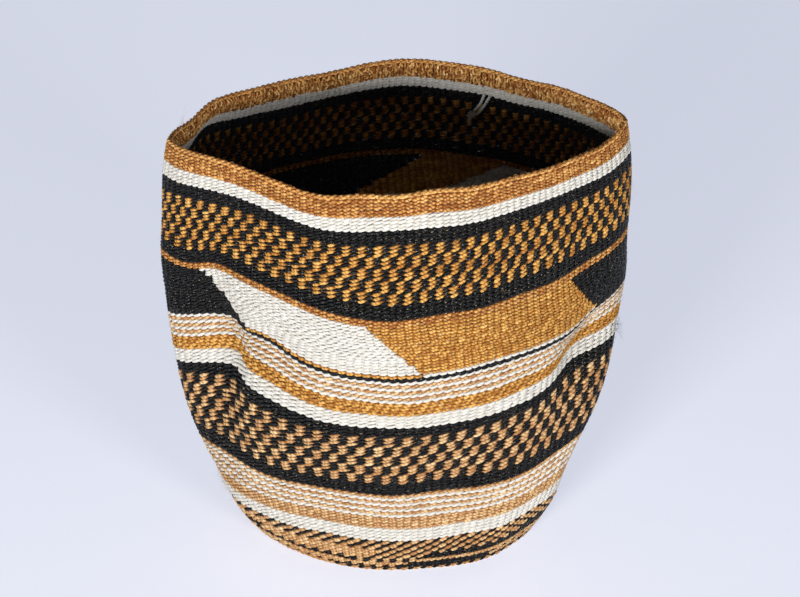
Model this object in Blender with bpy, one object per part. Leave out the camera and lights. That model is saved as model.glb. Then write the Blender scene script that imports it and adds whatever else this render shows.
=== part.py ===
"""A kiondo basket: a slack, hand-twined sisal basket with a flat base, a turned rim and bands of dyed yarn.

The wall is one cloth, twined in rows round upright warps, and it changes colour from band to band. Each band is a
ring with upright eyes, as its two weft yarns pass before and behind the warps, and the bundles of warps run through
the eyes of every band from the base to the rim. Lengths are in metres, +Z is up and the front faces -Y.
"""

import math
from functools import lru_cache

import bmesh
import bpy
import numpy as np
from mathutils import Vector

MM = 0.001

# The basket as it stands: side to side at its widest, front to back, and from the floor to the front of the rim.
WIDTH = 277 * MM
DEPTH = 246 * MM
HEIGHT = 290 * MM

# The cloth: the wall through both weft yarns and the warp, a bundle of warps, and the room between pieces.
WALL = 4 * MM
BUNDLE_THICKNESS = 1.4 * MM
GAP = 0.3 * MM

# The turned rim is a cord of warp ends laid along the last row, and the tie is a two-ply twine knotted inside.
RIM_CORD_RADIUS = 2 * MM
TWINE_RADIUS = 0.8 * MM

# Points nearer than this are one point, where the two ends of a ring meet.
MERGE = 0.01 * MM

# Counts of the twining: rows down the wall, rows in to the middle of the base, bundles of warps, the row where the
# bundles end, layers of the cloth, and the sides of a tube and of the knot.
WALL_ROWS = 118
BASE_ROWS = 34
BUNDLES = 12
CENTRE_ROW = 144
LAYERS = 3
TUBE_SIDES_STEP = 2
KNOT_SIDES = 10
SHARP_ANGLE = math.radians(40)

ROW = HEIGHT / WALL_ROWS
GAP_ROWS = GAP / ROW
SKIN = (WALL - BUNDLE_THICKNESS - 2 * GAP) / 2
RIM_ROWS = (RIM_CORD_RADIUS + GAP) / ROW
HALF_EYE_SHARE = 0.25

# The outside of the cloth at eight levels, counted in rows down from the rim. Half widths and the places of the
# middle are shares of WIDTH, the front, sides and back are shares of DEPTH, and heights are shares of HEIGHT.
LEVEL_ROWS = (0, 14, 35, 60, 80, 100, 112, 118)
HALF_WIDTH_SHARES = (0.472, 0.489, 0.504, 0.498, 0.468, 0.400, 0.360, 0.332)
MIDDLE_SHARES = (0.004, 0.005, 0.002, 0.002, -0.010, -0.016, -0.014, -0.016)
FRONT_SHARES = (-0.500, -0.492, -0.490, -0.451, -0.429, -0.402, -0.390, -0.380)
LEFT_SHARES = (-0.230, -0.215, -0.199, -0.179, -0.163, -0.144, -0.114, -0.081)
RIGHT_SHARES = (-0.173, -0.154, -0.114, -0.081, -0.146, -0.211, -0.187, -0.154)
BACK_SHARES = (0.332, 0.385, 0.440, 0.509, 0.505, 0.436, 0.360, 0.303)
FRONT_HEIGHT_SHARES = (0.991, 0.878, 0.700, 0.486, 0.314, 0.145, 0.041, 0.000)
LEFT_HEIGHT_SHARES = (0.980, 0.865, 0.707, 0.503, 0.328, 0.145, 0.041, 0.000)
RIGHT_HEIGHT_SHARES = (0.980, 0.875, 0.707, 0.514, 0.359, 0.186, 0.069, 0.000)
BACK_HEIGHT_SHARES = (0.932, 0.824, 0.650, 0.449, 0.279, 0.111, 0.028, 0.000)

# How full each half of a row is drawn: 2 is an ellipse, and less pulls it towards a point at the front and sides.
FRONT_FULLNESS = (1.65, 1.65, 1.65, 1.70, 1.75, 1.75, 1.80, 1.90)
BACK_FULLNESS = (1.62, 1.68, 1.75, 1.85, 1.95, 2.00, 2.00, 2.00)

# Soft folds in the cloth: degrees from the front, half-width in degrees, row, half-height in rows, how far the cloth
# is pushed in as a share of WIDTH, and how far it is lifted as a share of HEIGHT.
FOLD_SHARES = (
    (-64, 14, 60, 24, 0.087, 0.041),
    (-42, 14, 54, 18, 0.029, 0.034),
    (-54, 24, 20, 22, 0.032, 0.024),
    (-22, 12, 4, 16, -0.014, -0.007),
    (55, 28, 22, 26, 0.029, 0.014),
    (44, 24, 36, 12, 0.007, -0.019),
    (62, 13, 64, 14, 0.040, 0.024),
    (84, 20, 76, 14, -0.008, 0.000),
    (72, 22, 110, 12, -0.011, 0.000),
    (90, 18, 12, 14, -0.006, 0.000),
    (-120, 12, 14, 12, -0.022, 0.014),
    (-92, 20, 12, 14, -0.005, 0.000),
    (-150, 25, 0, 30, 0.014, -0.008),
    (140, 16, 4, 24, 0.000, -0.007),
    (-110, 7, 0, 16, 0.004, -0.010),
    (-62, 14, 0, 10, 0.000, 0.008),
    (12, 8, 0, 8, 0.000, 0.005),
    (94, 18, 0, 12, 0.000, 0.016),
    (-71, 9, 33, 9, 0.000, -0.018),
    (-54, 10, 50, 8, 0.000, -0.014),
    (-86, 10, 6, 9, 0.000, 0.011),
    (-8, 20, 34, 9, 0.000, -0.011),
    (86, 13, 20, 30, 0.000, 0.016),
    (82, 12, 60, 14, 0.000, 0.026),
    (57, 9, 53, 9, 0.000, -0.020),
    (38, 16, 112, 14, -0.017, 0.000),
    (42, 16, 92, 12, 0.000, -0.014),
    (-24, 14, 103, 8, 0.000, 0.008),
    (-62, 14, 108, 14, -0.010, 0.000),
)
TURN = 360

# How far to each side the cloth is looked at to find which way it faces.
TURN_ROWS = 3
TURN_SHARE = 0.01

# The bands from the rim down to the middle of the base: name, first row, last row, steps and colour.
BANDS = (
    ("rim_band", RIM_ROWS, 6, 1, "ochre"),
    ("upper_white_band", 6, 10, 1, "white"),
    ("upper_black_band", 10, 14, 1, "black"),
    ("upper_check_band", 14, 29, 2, "golden_check"),
    ("shoulder_black_band", 29, 33, 1, "black"),
    ("ochre_line", 33, 35, 1, "ochre"),
    ("panel_underline", 51, 53, 1, "black"),
    ("upper_stripes", 53, 60, 1, "stripes"),
    ("golden_band", 60, 64, 1, "golden"),
    ("middle_white_band", 64, 68, 1, "white"),
    ("middle_black_band", 68, 71, 1, "black"),
    ("lower_check_band", 71, 86, 2, "tan_check"),
    ("lower_black_band", 86, 90, 1, "black"),
    ("lower_stripes", 90, 98, 1, "stripes"),
    ("tan_band", 98, 102, 1, "tan"),
    ("lower_white_band", 102, 106, 1, "white"),
    ("marbled_band", 106, 118, 2, "marbled"),
    ("base_outer_ring", 118, 126, 1, "marbled"),
    ("base_black_ring", 126, 134, 1, "black"),
    ("base_inner_ring", 134, CENTRE_ROW, 1, "ochre"),
)

# The slit-woven panels share one band. Each runs from one gap between bundles to another, counted from the front.
PANEL_TOP, PANEL_BOTTOM, PANEL_STEPS = 35, 51, 2
PANELS = (
    ("front_white_panel", -2, 0, "white"),
    ("front_ochre_panel", 0, 2, "golden"),
    ("right_black_panel", 2, 4, "black"),
    ("back_white_panel", 4, 5, "white"),
    ("back_ochre_panel", 5, 6, "golden"),
    ("left_black_panel", 6, 10, "black"),
)

# Colour and roughness of each yarn, or of the mixture of yarns in a patterned band.
YARNS = {
    "ochre": ((0.58, 0.24, 0.06), 0.8),
    "golden": ((0.62, 0.30, 0.07), 0.8),
    "tan": ((0.60, 0.31, 0.13), 0.8),
    "white": ((0.82, 0.78, 0.72), 0.8),
    "black": ((0.018, 0.018, 0.022), 0.65),
    "golden_check": ((0.30, 0.15, 0.04), 0.75),
    "tan_check": ((0.28, 0.14, 0.06), 0.75),
    "stripes": ((0.70, 0.52, 0.38), 0.8),
    "marbled": ((0.25, 0.12, 0.04), 0.75),
    "sisal": ((0.66, 0.58, 0.45), 0.85),
}

# The tie inside the back wall, in the order that it hangs: out of the white band, down to its knot and its loose end.
TIE_ROUTE = (
    (0.0586, 0.0641, 0.2511),
    (0.0572, 0.0648, 0.2481),
    (0.0556, 0.0669, 0.2436),
    (0.0534, 0.0698, 0.2388),
    (0.0511, 0.0723, 0.2344),
    (0.0472, 0.0743, 0.2332),
    (0.0465, 0.0763, 0.2286),
    (0.0463, 0.0780, 0.2240),
)
TIE_KNOT_POINT = 5

# Its second strand, out of the white band and down to the knot.
STRAND_ROUTE = (
    (0.0550, 0.0664, 0.2507),
    (0.0539, 0.0663, 0.2474),
    (0.0530, 0.0678, 0.2442),
    (0.0508, 0.0706, 0.2396),
    (0.0489, 0.0723, 0.2366),
)
TIE_STEPS = 2


def clear_scene():
    """Remove the objects that a new scene starts with."""
    for thing in list(bpy.data.objects):
        bpy.data.objects.remove(thing, do_unlink=True)


def at_row(levels, row):
    """The value at a row of a smooth curve through the values at LEVEL_ROWS."""
    rows = np.array(LEVEL_ROWS, float)
    values = np.array(levels, float)
    steps = np.diff(rows)
    rises = np.diff(values) / steps
    slopes = np.empty_like(values)
    slopes[0], slopes[-1] = rises[0], rises[-1]
    slopes[1:-1] = (steps[1:] * rises[:-1] + steps[:-1] * rises[1:]) / (steps[1:] + steps[:-1])
    row = min(max(row, rows[0]), rows[-1])
    k = min(int(np.searchsorted(rows, row, side="right")) - 1, len(steps) - 1)
    t = (row - rows[k]) / steps[k]
    start = values[k] * (2 * t**3 - 3 * t**2 + 1) + slopes[k] * steps[k] * (t**3 - 2 * t**2 + t)
    end = values[k + 1] * (3 * t**2 - 2 * t**3) + slopes[k + 1] * steps[k] * (t**3 - t**2)
    return start + end


def wall_outline(angle, row):
    """Points on the outside of the wall at a row, at angles from the front, positive to the right."""
    cosine, sine = np.cos(angle), np.sin(angle)
    front, right = cosine > 0, sine > 0
    power = 2 / np.where(front, at_row(FRONT_FULLNESS, row), at_row(BACK_FULLNESS, row))
    middle = WIDTH * at_row(MIDDLE_SHARES, row)
    half_width = WIDTH * at_row(HALF_WIDTH_SHARES, row)
    side = DEPTH * np.where(right, at_row(RIGHT_SHARES, row), at_row(LEFT_SHARES, row))
    reach = DEPTH * np.where(front, at_row(FRONT_SHARES, row), at_row(BACK_SHARES, row)) - side
    x = middle + half_width * np.sign(sine) * np.abs(sine) ** power
    y = side + reach * np.abs(cosine) ** power
    ends = np.where(front, at_row(FRONT_HEIGHT_SHARES, row), at_row(BACK_HEIGHT_SHARES, row))
    sides = np.where(right, at_row(RIGHT_HEIGHT_SHARES, row), at_row(LEFT_HEIGHT_SHARES, row))
    z = HEIGHT * (ends * cosine**2 + sides * sine**2)
    return folded(angle, row, middle, side, np.column_stack([x, y, z]))


def folded(angle, row, middle, side, points):
    """The points of a row after the soft folds have pushed the cloth in and lifted it."""
    inward = np.column_stack([middle - points[:, 0], side - points[:, 1]])
    inward /= np.linalg.norm(inward, axis=1)[:, None]
    for place, half_turn, fold_row, half_rows, push_share, lift_share in FOLD_SHARES:
        apart = (np.degrees(angle) - place + TURN / 2) % TURN - TURN / 2
        weight = np.exp(-((apart / half_turn) ** 2) - ((row - fold_row) / half_rows) ** 2)
        points[:, :2] += inward * (weight * push_share * WIDTH)[:, None]
        points[:, 2] += weight * lift_share * HEIGHT * min(1, (WALL_ROWS - row) / half_rows)
    return points


@lru_cache(maxsize=None)
def row_line(row):
    """One row as (shares of its length from the front, points, length). Rows past the wall close over the base."""
    angle = np.linspace(-math.pi, math.pi, TURN + 1)
    points = wall_outline(angle, min(row, WALL_ROWS))
    if row > WALL_ROWS:
        middle = (points.max(axis=0) + points.min(axis=0)) / 2
        points = middle + (points - middle) * (1 - (row - WALL_ROWS) / BASE_ROWS)
    lengths = np.concatenate([[0], np.cumsum(np.linalg.norm(np.diff(points, axis=0), axis=1))])
    return (lengths - np.interp(0, angle, lengths)) / lengths[-1], points, lengths[-1]


def on_outside(share, row):
    """The point on the outside of the cloth at a share of the way round a row, from the front to the right."""
    shares, points, _ = row_line(round(row, 4))
    share = (share - shares[0]) % 1 + shares[0]
    return np.array([np.interp(share, shares, points[:, k]) for k in range(3)])


def in_cloth(share, row, depth):
    """The point at a depth into the cloth from its outside."""
    upper, lower = max(row - TURN_ROWS, 0), min(row + TURN_ROWS, WALL_ROWS + BASE_ROWS - 1)
    along = on_outside(share + TURN_SHARE, row) - on_outside(share - TURN_SHARE, row)
    down = on_outside(share, lower) - on_outside(share, upper)
    inward = np.cross(along, down)
    return on_outside(share, row) + inward / np.linalg.norm(inward) * depth


def on_facet(place, row, depth):
    """The point in the cloth at a place counted in bundles from the front, on the flat side of the eye or web there."""
    side = HALF_EYE_SHARE + math.floor((place - HALF_EYE_SHARE) * 2) / 2
    share = (place - side) * 2
    start, end = in_cloth(side / BUNDLES, row, depth), in_cloth((side + 1 / 2) / BUNDLES, row, depth)
    return start * (1 - share) + end * share


def new_part(name, mesh, yarn):
    """An object of the basket with its own material of a yarn's colour and roughness."""
    colour, roughness = YARNS[yarn]
    material = bpy.data.materials.new(name)
    material.use_nodes = True
    shader = material.node_tree.nodes["Principled BSDF"]
    shader.inputs["Base Color"].default_value = (*colour, 1)
    shader.inputs["Roughness"].default_value = roughness
    shader.inputs["Metallic"].default_value = 0
    mesh.materials.append(material)
    part = bpy.data.objects.new(name, mesh)
    basket.objects.link(part)
    return part


def lattice(columns, layers, steps, eyes=False):
    """A block of unit cells, its columns along X, layers along Y and steps along Z, with eyes or without."""
    block = bmesh.new()
    bmesh.ops.create_grid(block, x_segments=columns, y_segments=layers, size=1)
    for vertex in block.verts:
        vertex.co.x = round((vertex.co.x + 1) / 2 * columns)
        vertex.co.y = round((vertex.co.y + 1) / 2 * layers)
    if eyes:
        middles = [face for face in block.faces if is_eye(face.calc_center_median())]
        bmesh.ops.delete(block, geom=middles, context="FACES")
    made = bmesh.ops.extrude_face_region(block, geom=block.faces[:])["geom"]
    bmesh.ops.translate(block, verts=[v for v in made if isinstance(v, bmesh.types.BMVert)], vec=(0, 0, steps))
    for step in range(1, steps):
        everything = block.verts[:] + block.edges[:] + block.faces[:]
        bmesh.ops.bisect_plane(block, geom=everything, plane_co=(0, 0, step), plane_no=(0, 0, 1))
    return block


def is_eye(centre):
    """Whether a cell of a ring's grid is an eye: the middle layer of every second column."""
    return int(centre.x) % 2 == 1 and int(centre.y) == 1


def is_join(face, last):
    """Whether a face is at the join of a ring, where its first web meets its last eye. The eye's own side stays."""
    at_end = {vertex.co.x for vertex in face.verts} in ({0}, {last})
    return at_end and int(face.calc_center_median().y) != 1


def split_squares(block):
    """Cut each square face along the diagonal from its lowest to its highest corner, alike in every piece."""
    for face in [face for face in block.faces if len(face.verts) == 4]:
        low = min(face.verts, key=lambda vertex: sum(vertex.co))
        high = max(face.verts, key=lambda vertex: sum(vertex.co))
        bmesh.utils.face_split(face, low, high)


def finished_mesh(name, block):
    """The mesh of a block, closed where points meet, with its faces pointing out."""
    bmesh.ops.remove_doubles(block, verts=block.verts, dist=MERGE)
    bmesh.ops.recalc_face_normals(block, faces=block.faces)
    mesh = bpy.data.meshes.new(name)
    block.to_mesh(mesh)
    block.free()
    mesh.set_sharp_from_angle(angle=SHARP_ANGLE)
    return mesh


def row_places(top, bottom, steps):
    """The rows at which a band has points, a gap clear of the bands above and below it."""
    return np.linspace(top + GAP_ROWS / 2, bottom - GAP_ROWS / 2, steps + 1)


def eye_edges(first, last):
    """The sides of the webs and eyes between two gaps, counted in bundles: half a web, eye, web, eye and so on."""
    sides = [side for k in range(first, last) for side in (k + HALF_EYE_SHARE, k + 1 - HALF_EYE_SHARE)]
    return [first, *sides, last]


def wrap_into_cloth(block, edges, depths, rows):
    """Move a lattice's corners to their places in the cloth."""
    for vertex in block.verts:
        column, layer, step = (round(value) for value in vertex.co)
        vertex.co = on_facet(edges[column], rows[step], depths[layer])


def make_band(name, top, bottom, steps, yarn):
    """A ring of twined rows all the way round, with an eye for each bundle of warps."""
    edges = eye_edges(0, BUNDLES)[1:-1]
    edges = [edges[-1] - BUNDLES, *edges]
    block = lattice(len(edges) - 1, LAYERS, steps, eyes=True)
    bmesh.ops.delete(block, geom=[face for face in block.faces if is_join(face, len(edges) - 1)], context="FACES")
    split_squares(block)
    wrap_into_cloth(block, edges, (0, SKIN, WALL - SKIN, WALL), row_places(top, bottom, steps))
    return new_part(name, finished_mesh(name, block), yarn)


def make_panel(name, first, last, yarn):
    """A slit-woven panel: it ends at a slit beside the next panel."""
    edges = eye_edges(first, last)
    slit = GAP / row_line((PANEL_TOP + PANEL_BOTTOM) / 2)[2] * BUNDLES
    edges[0] += slit / 2
    edges[-1] -= slit / 2
    block = lattice(len(edges) - 1, LAYERS, PANEL_STEPS, eyes=True)
    split_squares(block)
    rows = row_places(PANEL_TOP, PANEL_BOTTOM, PANEL_STEPS)
    wrap_into_cloth(block, edges, (0, SKIN, WALL - SKIN, WALL), rows)
    return new_part(name, finished_mesh(name, block), yarn)


def make_bundle(number):
    """A bundle of warps, from beside the middle of the base up through every band to the rim."""
    name = f"warp_bundle_{number + 1:02d}"
    levels = [(top, bottom, steps) for _, top, bottom, steps, _ in BANDS]
    levels.append((PANEL_TOP, PANEL_BOTTOM, PANEL_STEPS))
    rows = sorted({row for band in levels for row in np.linspace(band[0], band[1], band[2] + 1)})
    rows[0] += GAP_ROWS / 2
    rows[-1] -= GAP_ROWS / 2
    block = lattice(1, 1, len(rows) - 1)
    split_squares(block)
    sides = (number + HALF_EYE_SHARE, number + 1 - HALF_EYE_SHARE)
    depths = (SKIN + GAP, WALL - SKIN - GAP)
    for vertex in block.verts:
        column, layer, step = (round(value) for value in vertex.co)
        clear = GAP / row_line(round(rows[step], 4))[2] * BUNDLES * (1 - 2 * column)
        vertex.co = on_facet(sides[column] + clear, rows[step], depths[layer])
    return new_part(name, finished_mesh(name, block), "sisal")


def make_base_centre():
    """The closed middle of the base, where the twining starts."""
    block = bmesh.new()
    bmesh.ops.create_cone(block, cap_ends=True, segments=2 * BUNDLES, radius1=1, radius2=1, depth=1)
    for vertex in block.verts:
        share = round(math.atan2(vertex.co.y, vertex.co.x) / math.tau * 2 * BUNDLES) / (2 * BUNDLES)
        depth = WALL if vertex.co.z > 0 else 0
        vertex.co = in_cloth(share + HALF_EYE_SHARE / BUNDLES, CENTRE_ROW + GAP_ROWS / 2, depth)
    return new_part("base_centre", finished_mesh("base_centre", block), "sisal")


def new_tube(name, points, radius, yarn, closed=False):
    """A round tube along points, closed on itself or with filled ends."""
    curve = bpy.data.curves.new(name, "CURVE")
    curve.dimensions = "3D"
    curve.bevel_depth = radius
    curve.bevel_resolution = TUBE_SIDES_STEP
    curve.use_fill_caps = not closed
    line = curve.splines.new("POLY")
    line.points.add(len(points) - 1)
    for spot, point in zip(line.points, points):
        spot.co = (*point, 1)
    line.use_cyclic_u = closed
    return new_part(name, curve, yarn)


def make_rim_cord():
    """The turned rim: warp ends bent over and laid as a cord along the last row."""
    shares = [(k / 2 + HALF_EYE_SHARE) / BUNDLES for k in range(2 * BUNDLES)]
    points = [in_cloth(share, 0, WALL / 2) for share in shares]
    return new_tube("rim_cord", points, RIM_CORD_RADIUS, "ochre", closed=True)


def smooth_route(route, steps):
    """Points on a smooth curve through a route's own points."""
    points = np.array([route[0], *route, route[-1]], float)
    found = []
    for a, b, c, d in zip(points, points[1:], points[2:], points[3:]):
        for t in np.arange(steps) / steps:
            near = (2 * t**3 - 3 * t**2 + 1) * b + (3 * t**2 - 2 * t**3) * c
            found.append(near + (t**3 - 2 * t**2 + t) * (c - a) / 2 + (t**3 - t**2) * (d - b) / 2)
    return [*found, points[-1]]


def ring_points(middle, direction, radius, count):
    """Points on a circle round a middle, square to a direction."""
    across = Vector(direction).orthogonal().normalized()
    up = Vector(direction).cross(across).normalized()
    turns = [math.tau * k / count for k in range(count)]
    return [Vector(middle) + radius * (math.cos(turn) * across + math.sin(turn) * up) for turn in turns]


def make_tie():
    """The twine that hangs inside, its second strand, and the knot that wraps the first above its loose end."""
    twine = new_tube("tie_twine", smooth_route(TIE_ROUTE, TIE_STEPS), TWINE_RADIUS, "white")
    strand = new_tube("tie_strand", smooth_route(STRAND_ROUTE, TIE_STEPS), TWINE_RADIUS, "white")
    before, middle, after = TIE_ROUTE[TIE_KNOT_POINT - 1 : TIE_KNOT_POINT + 2]
    wrap = ring_points(middle, Vector(after) - Vector(before), 2 * TWINE_RADIUS + GAP, KNOT_SIDES)
    return twine, strand, new_tube("tie_knot", wrap, TWINE_RADIUS, "white", closed=True)


def stand_at_origin(carried):
    """Move everything so that the middle of the cloth's box stands over the origin, with its base on the floor."""
    bpy.context.view_layer.update()
    corners = [part.matrix_world @ vertex for part in carried for vertex in box_corners(part)]
    low, high = np.min(corners, axis=0), np.max(corners, axis=0)
    stance.location = (-(low[0] + high[0]) / 2, -(low[1] + high[1]) / 2, -low[2])


def box_corners(part):
    """The lowest and highest corner of a part, as it is evaluated."""
    graph = bpy.context.evaluated_depsgraph_get()
    mesh = part.evaluated_get(graph).to_mesh()
    points = np.array([vertex.co for vertex in mesh.vertices])
    part.evaluated_get(graph).to_mesh_clear()
    return [Vector(points.min(axis=0)), Vector(points.max(axis=0))]


clear_scene()
basket = bpy.data.collections.new("kiondo_basket")
bpy.context.scene.collection.children.link(basket)
stance = bpy.data.objects.new("stance", None)
basket.objects.link(stance)

cloth = [make_rim_cord(), make_base_centre()]
cloth += [make_band(*band) for band in BANDS]
cloth += [make_panel(*panel) for panel in PANELS]
cloth += [make_bundle(number) for number in range(BUNDLES)]
tie = make_tie()
stand_at_origin(cloth)
for piece in (*cloth, *tie):
    piece.parent = stance
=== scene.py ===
"""A kiondo basket of twined sisal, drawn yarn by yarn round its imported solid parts."""

import math

import bpy
import numpy as np
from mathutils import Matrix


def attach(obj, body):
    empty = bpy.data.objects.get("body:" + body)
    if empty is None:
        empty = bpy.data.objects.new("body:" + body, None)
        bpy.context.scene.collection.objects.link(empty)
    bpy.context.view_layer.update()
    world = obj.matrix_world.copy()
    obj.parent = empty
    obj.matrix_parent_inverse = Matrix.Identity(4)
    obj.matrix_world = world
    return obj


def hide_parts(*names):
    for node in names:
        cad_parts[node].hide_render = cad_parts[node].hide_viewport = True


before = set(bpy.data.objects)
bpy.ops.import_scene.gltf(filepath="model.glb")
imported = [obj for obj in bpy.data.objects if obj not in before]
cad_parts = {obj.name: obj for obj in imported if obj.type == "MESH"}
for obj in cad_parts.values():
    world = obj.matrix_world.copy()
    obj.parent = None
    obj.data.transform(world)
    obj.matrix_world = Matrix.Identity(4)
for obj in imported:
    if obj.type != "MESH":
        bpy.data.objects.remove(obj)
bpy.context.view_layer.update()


# Warps. Undyed sisal strands cross in the middle of the base, bend up for the wall and run to the rim, inside
# the cloth. New ones are pushed in beside them where the rows grow longer. They carry the basket's shape.
MM = 0.001
WIDTH, DEPTH, HEIGHT = 277 * MM, 246 * MM, 290 * MM
STANCE = (-1.1 * MM, -1.1 * MM, 0.0)
WALL = 4.0 * MM
TOP_ROW, WALL_ROWS, BASE_ROWS = -2, 118, 34
LAST_ROW = WALL_ROWS + BASE_ROWS

# The outside of the cloth at eight levels, counted in rows down from the rim, as shares of WIDTH, DEPTH and
# HEIGHT. An outline is four quarter curves. A fullness of 1 makes them straight, and 2 makes them an ellipse.
LEVEL_ROWS = (0, 14, 35, 60, 80, 100, 112, 118)
HALF_WIDTH_SHARES = (0.472, 0.489, 0.504, 0.498, 0.468, 0.400, 0.360, 0.332)
MIDDLE_SHARES = (0.004, 0.005, 0.002, 0.002, -0.010, -0.016, -0.014, -0.016)
FRONT_SHARES = (-0.500, -0.492, -0.490, -0.451, -0.429, -0.402, -0.390, -0.380)
LEFT_SHARES = (-0.230, -0.215, -0.199, -0.179, -0.163, -0.144, -0.114, -0.081)
RIGHT_SHARES = (-0.173, -0.154, -0.114, -0.081, -0.146, -0.211, -0.187, -0.154)
BACK_SHARES = (0.332, 0.385, 0.440, 0.509, 0.505, 0.436, 0.360, 0.303)
FRONT_HEIGHT_SHARES = (0.991, 0.878, 0.700, 0.486, 0.314, 0.145, 0.041, 0.000)
LEFT_HEIGHT_SHARES = (0.980, 0.865, 0.707, 0.503, 0.328, 0.145, 0.041, 0.000)
RIGHT_HEIGHT_SHARES = (0.980, 0.875, 0.707, 0.514, 0.359, 0.186, 0.069, 0.000)
BACK_HEIGHT_SHARES = (0.932, 0.824, 0.650, 0.449, 0.279, 0.111, 0.028, 0.000)
FRONT_FULLNESS = (1.65, 1.65, 1.65, 1.70, 1.75, 1.75, 1.80, 1.90)
BACK_FULLNESS = (1.62, 1.68, 1.75, 1.85, 1.95, 2.00, 2.00, 2.00)

# Soft folds: degrees from the front, half-width in degrees, row, half-height in rows, the push inward as a
# share of WIDTH and the lift as a share of HEIGHT.
FOLD_SHARES = (
    (-64, 14, 60, 24, 0.087, 0.041), (-42, 14, 54, 18, 0.029, 0.034),
    (-54, 24, 20, 22, 0.032, 0.024), (-22, 12, 4, 16, -0.014, -0.007),
    (55, 28, 22, 26, 0.029, 0.014), (44, 24, 36, 12, 0.007, -0.019),
    (62, 13, 64, 14, 0.040, 0.024), (84, 20, 76, 14, -0.008, 0),
    (72, 22, 110, 12, -0.011, 0), (90, 18, 12, 14, -0.006, 0),
    (-120, 12, 14, 12, -0.022, 0.014), (-92, 20, 12, 14, -0.005, 0),
    (-150, 25, 0, 30, 0.014, -0.008), (140, 16, 4, 24, 0, -0.007),
    (-110, 7, 0, 16, 0.004, -0.010), (-62, 14, 0, 10, 0, 0.008),
    (12, 8, 0, 8, 0, 0.005), (94, 18, 0, 12, 0, 0.016),
    (-71, 9, 33, 9, 0, -0.018), (-54, 10, 50, 8, 0, -0.014),
    (-86, 10, 6, 9, 0, 0.011), (-8, 20, 34, 9, 0, -0.011),
    (86, 13, 20, 30, 0, 0.016), (82, 12, 60, 14, 0, 0.026),
    (57, 9, 53, 9, 0, -0.020), (38, 16, 112, 14, -0.017, 0),
    (42, 16, 92, 12, 0, -0.014), (-24, 14, 103, 8, 0, 0.008),
    (-62, 14, 108, 14, -0.010, 0),
)

# The outlines are worked out at ANGLES round the wall. The cloth's outside is kept as a grid, at PLACES round
# it and GRID_STEPS to a row, and read to within GRID_EDGE of its end. The inward way at a point is measured
# over TURN_PLACES and TURN_ROWS to each side.
ANGLES, PLACES, GRID_STEPS, GRID_EDGE = 1080, 1440, 2, 0.001
TURN_PLACES, TURN_ROWS = 14, 3

# The hand's unevenness: how many waves, how often one goes round and down, how far the cloth stands in or
# out, how far rows wander, and how many rows above the base both start to die away.
WAVES = 9
TIMES_ROUND, TIMES_DOWN = (2, 19), (-5, 5)
UNEVEN, WANDER, CALM_ROWS = 0.45 * MM, 0.3 * MM, 12
chance = np.random.default_rng(11)
UNEVEN_WAVES, WANDER_WAVES, COLUMN_WAVES = (
    np.column_stack([
        chance.integers(*TIMES_ROUND, WAVES),
        chance.uniform(*TIMES_DOWN, WAVES),
        chance.uniform(0, 1, WAVES),
    ])
    for _ in range(3)
)


def unevenness(place, row, waves):
    """A gentle unevenness over the cloth, the sum of a few waves that run round it and down it."""
    turns = (around * place + down * row / WALL_ROWS + start for around, down, start in waves)
    return sum(np.sin(math.tau * turn) for turn in turns) / math.sqrt(len(waves))


def at_rows(levels, rows):
    """The values at rows of a smooth curve through the values at LEVEL_ROWS."""
    knots, values = np.array(LEVEL_ROWS, float), np.array(levels, float)
    steps = np.diff(knots)
    rises = np.diff(values) / steps
    slopes = np.concatenate([rises[:1], np.zeros(len(steps) - 1), rises[-1:]])
    slopes[1:-1] = (steps[1:] * rises[:-1] + steps[:-1] * rises[1:]) / (steps[1:] + steps[:-1])
    rows = np.minimum(rows, knots[-1])
    k = np.clip(np.searchsorted(knots, rows, side="right") - 1, 0, len(steps) - 1)
    t = (rows - knots[k]) / steps[k]
    start = values[k] * (2 * t**3 - 3 * t**2 + 1) + slopes[k] * steps[k] * (t**3 - 2 * t**2 + t)
    end = values[k + 1] * (3 * t**2 - 2 * t**3) + slopes[k + 1] * steps[k] * (t**3 - t**2)
    return (start + end)[:, None]


def wall_outlines(angle, rows):
    """Points on the outside of the wall, a line of them for each row, at angles from the front."""
    cosine, sine = np.cos(angle)[None], np.sin(angle)[None]
    ahead, right = cosine > 0, sine > 0
    power = 2 / np.where(ahead, at_rows(FRONT_FULLNESS, rows), at_rows(BACK_FULLNESS, rows))
    middle = WIDTH * at_rows(MIDDLE_SHARES, rows)
    side = DEPTH * np.where(right, at_rows(RIGHT_SHARES, rows), at_rows(LEFT_SHARES, rows))
    reach = DEPTH * np.where(ahead, at_rows(FRONT_SHARES, rows), at_rows(BACK_SHARES, rows)) - side
    x = middle + WIDTH * at_rows(HALF_WIDTH_SHARES, rows) * np.sign(sine) * np.abs(sine) ** power
    y = side + reach * np.abs(cosine) ** power
    ends = np.where(ahead, at_rows(FRONT_HEIGHT_SHARES, rows), at_rows(BACK_HEIGHT_SHARES, rows))
    sides = np.where(right, at_rows(RIGHT_HEIGHT_SHARES, rows), at_rows(LEFT_HEIGHT_SHARES, rows))
    z = HEIGHT * (ends * cosine**2 + sides * sine**2)
    away = np.hypot(x - middle, y - side)
    into_x, into_y = (middle - x) / away, (side - y) / away
    for place, half_turn, fold_row, half_rows, push_share, lift_share in FOLD_SHARES:
        apart = (np.degrees(angle)[None] - place + 180) % 360 - 180
        weight = np.exp(-((apart / half_turn) ** 2) - ((rows[:, None] - fold_row) / half_rows) ** 2)
        x = x + into_x * weight * push_share * WIDTH
        y = y + into_y * weight * push_share * WIDTH
        z = z + weight * lift_share * HEIGHT * np.minimum(1, (WALL_ROWS - rows[:, None]) / half_rows)
    return np.stack([x, y, z], axis=-1)


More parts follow.
